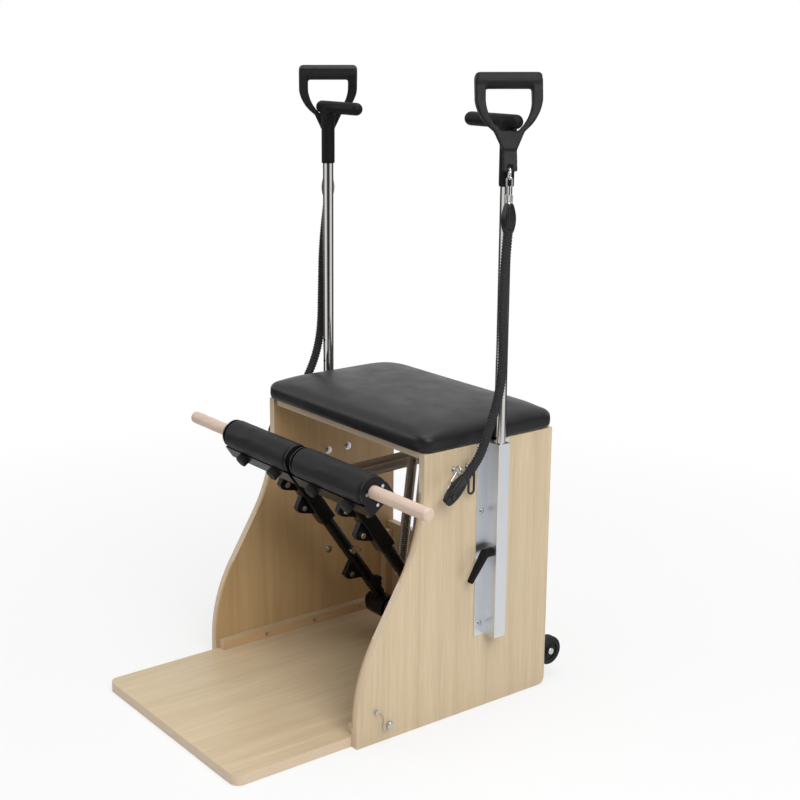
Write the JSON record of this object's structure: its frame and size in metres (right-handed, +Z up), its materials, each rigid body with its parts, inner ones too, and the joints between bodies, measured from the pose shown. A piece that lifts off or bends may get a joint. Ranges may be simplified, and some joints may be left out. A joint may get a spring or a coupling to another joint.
{
  "type": "pilates chair",
  "caption": "Free-standing pilates chair with a padded seat, sprung split pedals joined by a sliding dowel, height-adjustable side posts, T-grips and hung hand grips on elastic straps.",
  "frame": {"origin": "on the floor, in the middle of the footprint of base board, wheels and dowel", "axes": "+X to the sitter's left hand as seen from the front, -Y to the front where the pedals are, +Z up"},
  "size_m": [0.876, 0.878, 1.3592],
  "materials": {
    "maple_board": "satin laminate with fine upright grain",
    "plywood": "raw edge",
    "beech": "satin",
    "vinyl": "soft sheen",
    "black_steel": "powder coat",
    "tray_steel": "satin",
    "chrome": "polished",
    "aluminium": "brushed",
    "stainless": "polished tube",
    "black_plastic": "matte",
    "rubber": "matte",
    "elastic": "woven",
    "spring_steel": "dark oiled",
    "bush_plastic": "smooth",
    "wire": "thin wire",
    "tyre_black": "satin"
  },
  "bodies": {
    "frame": {"back_board": "maple_board", "back_cleats": "plywood", "base_board": "maple_board", "frame_fasteners": "chrome", "left_batten": "maple_board", "left_post_bracket": "aluminium", "left_side_panel": "maple_board", "left_springs": "spring_steel", "left_strap": "elastic", "lock_lanyards": "wire", "panel_eyes": "chrome", "pivot_axle": "stainless", "pivot_stand": "black_steel", "right_batten": "maple_board", "right_post_bracket": "aluminium", "right_side_panel": "maple_board", "right_springs": "spring_steel", "right_strap": "elastic", "seat_board": "plywood", "seat_cushion": "vinyl", "shaft_collars": "black_steel", "spring_bars": "stainless", "strap_hooks": "chrome", "wheel_axles": "chrome", "wheel_brackets": "black_steel"},
    "pedal_right": {"right_arm_sleeve": "black_steel", "right_arm_tube": "black_steel", "right_bumpers": "rubber", "right_hook_brackets": "black_steel", "right_hub_bushes": "bush_plastic", "right_pad": "vinyl", "right_pedal_base": "tray_steel", "right_pedal_bolts": "chrome", "right_pivot_hub": "black_steel"},
    "post_right": {"right_post": "stainless", "right_t_grip": "black_plastic", "right_hand_grip": "black_plastic", "right_hand_clip": "chrome"},
    "clamp_lever_right": {"right_clamp_lever": "black_plastic"},
    "wheel_right": {"right_wheel": "tyre_black"},
    "lock_pin_right": {"right_lock_pin": "chrome"},
    "star_knob_right": {"right_star_knob": "black_plastic"},
    "pedal_left": {"left_arm_sleeve": "black_steel", "left_arm_tube": "black_steel", "left_bumpers": "rubber", "left_hook_brackets": "black_steel", "left_hub_bushes": "bush_plastic", "left_pad": "vinyl", "left_pedal_base": "tray_steel", "left_pedal_bolts": "chrome", "left_pivot_hub": "black_steel"},
    "post_left": {"left_post": "stainless", "left_t_grip": "black_plastic", "left_hand_grip": "black_plastic", "left_hand_clip": "chrome"},
    "clamp_lever_left": {"left_clamp_lever": "black_plastic"},
    "wheel_left": {"left_wheel": "tyre_black"},
    "lock_pin_left": {"left_lock_pin": "chrome"},
    "star_knob_left": {"left_star_knob": "black_plastic"},
    "dowel": {"dowel": "beech"}
  },
  "joints": [
    {"name": "pedal_right_swing", "type": "hinge", "parent": "frame", "child": "pedal_right", "pos_m": [0, 0.213, 0.095], "axis": [1, 0, 0], "range_deg": [0, 56.8], "stiffness_Nm_per_rad": 40, "springref_deg": -45.84, "deforming": ["right_springs"]},
    {"name": "pedal_left_swing", "type": "hinge", "parent": "frame", "child": "pedal_left", "pos_m": [0, 0.213, 0.095], "axis": [1, 0, 0], "range_deg": [0, 56.8], "stiffness_Nm_per_rad": 40, "springref_deg": -45.84, "deforming": ["left_springs"]},
    {"name": "dowel_slide", "type": "slide", "parent": "pedal_right", "child": "dowel", "axis": [1, 0, 0], "range_m": [-0.45, 0.45]},
    {"name": "post_right_slide", "type": "slide", "parent": "frame", "child": "post_right", "axis": [0, 0, 1], "range_m": [-0.15, 0.15], "deforming": ["right_strap"]},
    {"name": "clamp_lever_right_turn", "type": "hinge", "parent": "frame", "child": "clamp_lever_right", "pos_m": [0.306, 0.16, 0.362], "axis": [0, -1, 0], "range_deg": [0, 120]},
    {"name": "wheel_right_spin", "type": "hinge", "parent": "frame", "child": "wheel_right", "pos_m": [0.254, 0.406, 0.06], "axis": [1, 0, 0], "continuous": true},
    {"name": "lock_pin_right_pull", "type": "slide", "parent": "frame", "child": "lock_pin_right", "axis": [1, 0, 0], "range_m": [0, 0.045], "deforming": ["lock_lanyards"]},
    {"name": "star_knob_right_turn", "type": "hinge", "parent": "pedal_right", "child": "star_knob_right", "pos_m": [0.0877, 0.17267, 0.16936], "axis": [1, 0, 0], "continuous": true},
    {"name": "post_left_slide", "type": "slide", "parent": "frame", "child": "post_left", "axis": [0, 0, 1], "range_m": [-0.15, 0.15], "deforming": ["left_strap"]},
    {"name": "clamp_lever_left_turn", "type": "hinge", "parent": "frame", "child": "clamp_lever_left", "pos_m": [-0.306, 0.16, 0.362], "axis": [0, 1, 0], "range_deg": [0, 120]},
    {"name": "wheel_left_spin", "type": "hinge", "parent": "frame", "child": "wheel_left", "pos_m": [-0.254, 0.406, 0.06], "axis": [1, 0, 0], "continuous": true},
    {"name": "lock_pin_left_pull", "type": "slide", "parent": "frame", "child": "lock_pin_left", "axis": [-1, 0, 0], "range_m": [0, 0.045], "deforming": ["lock_lanyards"]},
    {"name": "star_knob_left_turn", "type": "hinge", "parent": "pedal_left", "child": "star_knob_left", "pos_m": [-0.0877, 0.17267, 0.16936], "axis": [-1, 0, 0], "continuous": true}
  ],
  "couplings": [
    {"joint": "pedal_left_swing", "follows": "pedal_right_swing", "ratio": 1}
  ]
}
